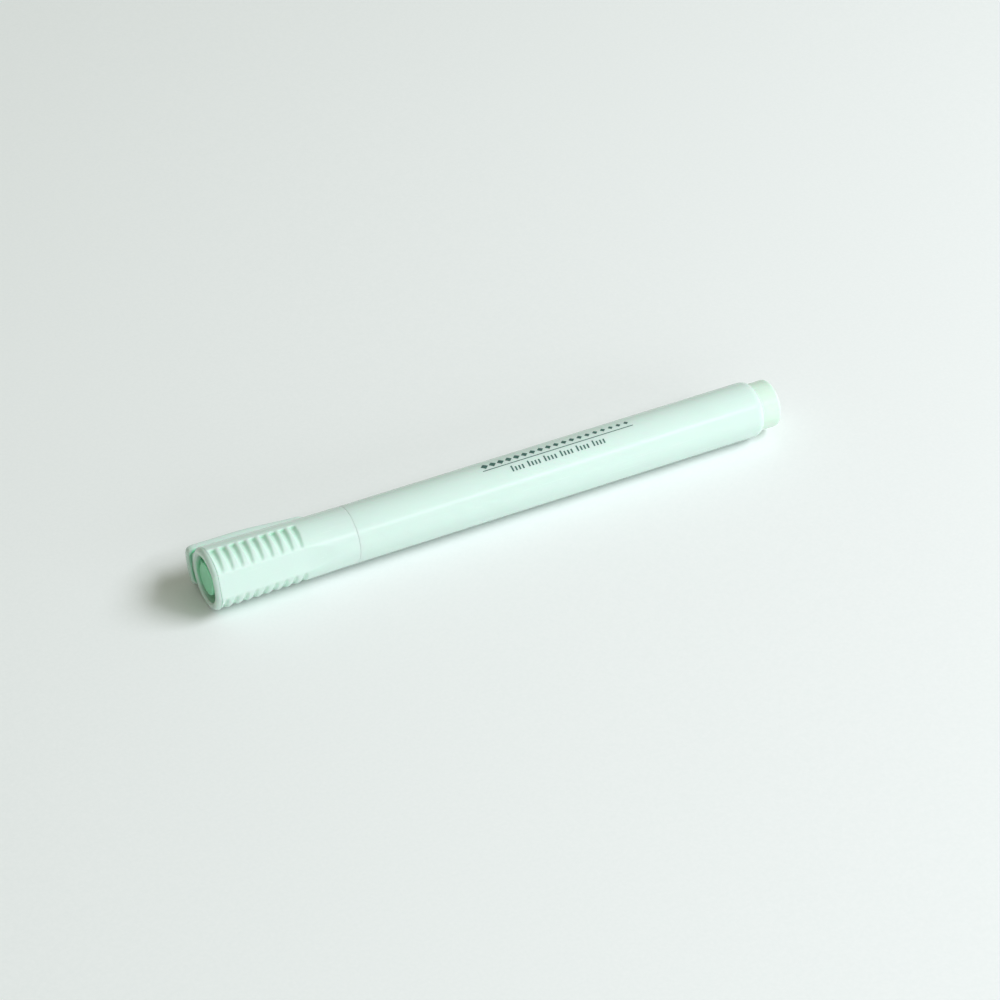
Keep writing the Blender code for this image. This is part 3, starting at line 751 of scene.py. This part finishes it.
def nib(material):
    """The chisel nib: bonded fibre, its end cut slantwise and worn a little round."""
    slant = tan(CHISEL_TURN) / 2
    taper = NIB_TAPER_LENGTH + NIB_WIDTH * slant
    edge_thickness, edge_width, worn = 0.35, 0.92, 0.15
    loops = [upright(nib_loop(NIB_END)), upright(nib_loop(NIB_TIP + taper + 0.4))]
    for share in (0.92, 0.75, 0.5, 0.3, 0.15, 0.06, 0):
        thinner = edge_thickness + (1 - edge_thickness) * smooth(share * 0.98)
        if share < worn:
            thinner *= 0.75 + 0.25 * share / worn
        loop = nib_loop(0, narrower=edge_width + (1 - edge_width) * share, thinner=thinner)
        lean = 1 - share
        start = NIB_TIP + taper * share
        loops.append(upright([(start + (y + NIB_WIDTH / 2) * slant * lean, y, z) for _, y, z in loop]))
    return new_piece("nib_fibre_tip", [lofted(loops, closed=False)], material, sharp_degrees=35)


def nib_holder(material):
    """The nose piece that grips the nib: a cone with a lip, and the stem inside the barrel's neck."""
    base, base_length, base_radius = NECK_START - PRESS_GAP, 0.6, 3.7
    lip_length, lip_radius, lip_inside = 0.5, 3.05, 2.6
    flare = 0.1
    relief_end, relief_radius = NECK_START + 1, STEM_RADIUS - 0.2
    chamfer_length, chamfer = 0.6, 0.3
    outside = rounded(
        [
            (HOLDER_START, lip_inside, 0),
            (HOLDER_START, lip_radius - flare, 0.15),
            (HOLDER_START + lip_length, lip_radius, 0.2),
            (base - base_length, base_radius - flare, 0.2),
            (base, base_radius, 0.1),
            (base, relief_radius, 0.05),
            (relief_end, relief_radius, 0.1),
            (relief_end, STEM_RADIUS, 0.1),
            (HOLDER_END - chamfer_length, STEM_RADIUS, 0.2),
            (HOLDER_END, STEM_RADIUS - chamfer, 0),
        ],
        closed=False,
    )
    turns = [atan2(z, y) for _, y, z in nib_loop(0)]
    loops = []
    for x, radius in outside:
        loops.append(upright([(x, radius * cos(turn), radius * sin(turn)) for turn in turns]))
    slot_gap, slot_mouth_gap, slot_mouth_length = 0.1, 0.3, 0.25
    for x in (HOLDER_END, HOLDER_START + slot_mouth_length, HOLDER_START):
        grow = slot_gap if x > HOLDER_START else slot_mouth_gap
        slot = nib_loop(x)
        loops.append(upright([(x, y + grow * np.sign(y), z + grow * np.sign(z)) for _, y, z in slot]))
    return new_piece("nib_holder_nose", [lofted(loops, closed=True)], material, sharp_degrees=35)


def ink_reservoir(material):
    """The fibre rod that holds the ink, with a pocket for the nib's end."""
    pocket_end, pocket_radius, pinhole = NIB_END + PRESS_GAP, 2.5, 0.3
    corners = [
        (ROD_START, pocket_radius, 0),
        (ROD_START, ROD_RADIUS, 0.4),
        (ROD_END, ROD_RADIUS, 0.4),
        (ROD_END, pinhole, 0),
        (pocket_end, pinhole, 0),
        (pocket_end, pocket_radius, 0),
    ]
    return new_piece("ink_reservoir_rod", [turned(corners, closed=True, sides=ROD_SIDES)], material)


def reservoir_film(material):
    """The film wrapped round the rod, with its lengthwise lap."""
    turns = full_turn(ROD_SIDES)[None, :]
    lap_turn, lap_spread, lap_height = 1.0, 0.06, 0.05
    lap = lap_height * np.exp(-((turns - lap_turn) / lap_spread) ** 2)
    inner = FILM_RADIUS - FILM_THICKNESS
    loops = []
    for x, outside in ((FILM_START, False), (FILM_START, True), (FILM_END, True), (FILM_END, False)):
        radius = FILM_RADIUS + lap * 0.9 if outside else inner
        loops.append(polar(x, radius - lap_height, turns)[0])
    return new_piece("reservoir_film_wrap", [lofted(loops, closed=True)], material)


# Print on the barrel: a thin rule between two rows of plain geometric marks.

PRINT_TURN = radians(114)
PRINT_FROM = 63.0
PRINT_LENGTH = 36.0
PRINT_STANDS_OUT = 0.012


def print_patch(arcs, starts, ends):
    """A thin closed patch of ink: where it starts and ends along the pen, at each of its arc lengths."""
    arcs, starts, ends = np.broadcast_arrays(arcs, starts, ends)
    turns = PRINT_TURN - arcs / BARREL_RADIUS
    low, high = BARREL_RADIUS - PRINT_STANDS_OUT, BARREL_RADIUS + PRINT_STANDS_OUT
    section = ((starts, low), (ends, low), (ends, high), (starts, high))
    corners = [polar(x, radius, turns) for x, radius in section]
    return lofted(np.stack(corners, axis=1), closed=False)


def bar(x, low, high, width):
    """A straight-sided mark: where it starts along the pen, its two edges along the arc, and its width."""
    return print_patch(np.linspace(low, high, 9), x, x + width)


def lozenge(x, middle, half_length, half_height):
    """A mark with four corners. It stops just short of its sharp ends, so that no face has zero width."""
    nearly, rows = 0.98, 13
    share = np.linspace(-nearly, nearly, rows)
    half = half_length * (1 - np.abs(share))
    return print_patch(middle + share * half_height, x - half, x + half)


def print_rule(material):
    half_width = 0.1
    return new_piece("print_rule", [bar(PRINT_FROM, -half_width, half_width, PRINT_LENGTH)], material)


def print_lozenges(material):
    """The row above the rule: lozenges that shrink towards the tail."""
    count, shrinking, margin = 19, 0.35, 1.0
    row, half = 1.35, 0.85
    parts = []
    for i in range(count):
        size = 1.0 - shrinking * i / (count - 1)
        x = PRINT_FROM + margin + i * (PRINT_LENGTH - 2 * margin) / (count - 1)
        parts.append(lozenge(x, row, half * size, half * size))
    return new_piece("print_lozenges", parts, material)


def print_bars(material):
    """The row below the rule: short upright bars in groups of four, the first of each group taller."""
    count, group, pitch, group_gap, margin = 24, 4, 0.82, 0.6, 6.0
    foot, tall, short, width = -2.2, -0.75, -1.15, 0.36
    parts = []
    for i in range(count):
        x = PRINT_FROM + margin + i * pitch + (i // group) * group_gap
        parts.append(bar(x, foot, tall if i % group == 0 else short, width))
    return new_piece("print_bars", parts, material)


# Camera, floor and light


def look_from(target, azimuth, elevation, distance):
    """A place at a distance from the target. Azimuth 0 is at -Y, and positive azimuths turn to +X."""
    azimuth, elevation = radians(azimuth), radians(elevation)
    away = Vector((sin(azimuth) * cos(elevation), -cos(azimuth) * cos(elevation), sin(elevation)))
    return Vector(target) + away * distance


def camera():
    """The photograph's view, solved from the pen's own outline. The lens is given in sensor widths."""
    target = Vector((-1.445, AXIS_Y - 3.644, AXIS_Z - 0.332)) * MM
    azimuth, elevation, distance, sensor_widths = -27.82, 36.81, 0.6126, 2.924
    place = look_from(target, azimuth, elevation, distance)
    data = bpy.data.cameras.new("camera")
    data.sensor_width = 36
    data.lens = sensor_widths * data.sensor_width
    seen = bpy.data.objects.new("camera", data)
    bpy.context.scene.collection.objects.link(seen)
    seen.rotation_mode = "QUATERNION"
    seen.rotation_quaternion = (target - place).to_track_quat("-Z", "Y")
    seen.location = place
    bpy.context.scene.camera = seen


def floor(material):
    """The table. It touches the cap's wide end and the barrel's tail, so it tilts a fraction of a degree."""
    rise = CAP_END_RADIUS - BARREL_RADIUS
    run = BARREL_END - SHOULDER_LENGTH
    half, clearance = 1.5, 0.00001
    closed_end = CLOSED_END * MM
    slope = rise / run
    corners = []
    for x, y in ((-half, -half), (half, -half), (half, half), (-half, half)):
        corners.append((x, y, (x - closed_end) * slope - clearance))
    mesh = bpy.data.meshes.new("floor")
    mesh.from_pydata(corners, [], [(0, 1, 2, 3)])
    mesh.materials.append(material)
    top = bpy.data.objects.new("floor", mesh)
    bpy.context.scene.collection.objects.link(top)


def area_light(name, azimuth, elevation, distance, width, height, power, colour, reflected):
    """A rectangular light aimed at the origin, its places and sizes in metres."""
    data = bpy.data.lights.new(name, "AREA")
    data.shape = "RECTANGLE"
    data.size, data.size_y = width, height
    data.energy = power
    data.color = colour
    lamp = bpy.data.objects.new(name, data)
    bpy.context.scene.collection.objects.link(lamp)
    lamp.location = look_from((0, 0, 0), azimuth, elevation, distance)
    lamp.visible_glossy = reflected
    lamp.rotation_mode = "QUATERNION"
    lamp.rotation_quaternion = (-lamp.location).to_track_quat("-Z", "Y")


def lights():
    cool = (0.91, 0.94, 1.0)
    away = 1.5
    area_light("window", 60, 43, away, width=0.95, height=0.6, power=20, colour=cool, reflected=False)
    area_light("strip", 27.4, 35.7, away, width=0.7, height=0.06, power=3.0, colour=cool, reflected=True)
    area_light("front", 8, 14, away, width=1.8, height=0.5, power=6.5, colour=cool, reflected=False)
    world = bpy.data.worlds.new("room")
    world.use_nodes = True
    background = world.node_tree.nodes["Background"]
    background.inputs["Color"].default_value = (0.95, 1.0, 0.82, 1)
    background.inputs["Strength"].default_value = 0.31
    bpy.context.scene.world = world
    bpy.context.scene.view_settings.view_transform = "Standard"


# The scene


def show(piece, body, slot, *nodes):
    """Says which CAD body a piece rides on and the CAD nodes it stands for. The material slot argument is
    not used.
    """
    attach(piece, body)
    if nodes:
        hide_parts(*nodes)


def build():
    body = plastic("body_plastic_green", BODY_GREEN, BODY_HOLLOW_SHADE_GREEN)
    plug = plastic("plug_plastic_green", PLUG_GREEN, PLUG_HOLLOW_SHADE_GREEN)
    liner = plastic("liner_plastic_green", LINER_SHADE_DEEPENED_GREEN, LINER_HOLLOW_SHADE_GREEN, roughness=0.34)
    holder = plastic("holder_plastic_green", PLUG_GREEN, PLUG_HOLLOW_SHADE_GREEN, roughness=0.3)
    ink = printed_ink("print_ink")
    nib_fibre = bonded_fibre("nib_fibre", NIB_GREEN, stretch=30)
    rod_fibre = bonded_fibre("reservoir_fibre", FIBRE_GREEN, stretch=40)
    film = clear_film("film_clear")
    show(barrel(body), "pen", "body_plastic", "barrel")
    show(tail_plug(plug), "pen", "plug_plastic", "tail_plug")
    show(nib_holder(holder), "pen", "plug_plastic", "nib_holder")
    show(nib(nib_fibre), "pen", "nib_fibre", "nib")
    show(ink_reservoir(rod_fibre), "pen", "ink_fibre", "ink_reservoir")
    show(reservoir_film(film), "pen", "film", "reservoir_film")
    show(cap_shell(body), "cap", "body_plastic", "cap_shell")
    show(cap_liner(liner), "cap", "liner_plastic", "cap_liner")
    show(clip(body), "clip", "body_plastic", "clip")
    show(print_rule(ink), "pen", "body_plastic")
    show(print_lozenges(ink), "pen", "body_plastic")
    show(print_bars(ink), "pen", "body_plastic")
    camera()
    floor(table_top("table_top"))
    lights()


build()
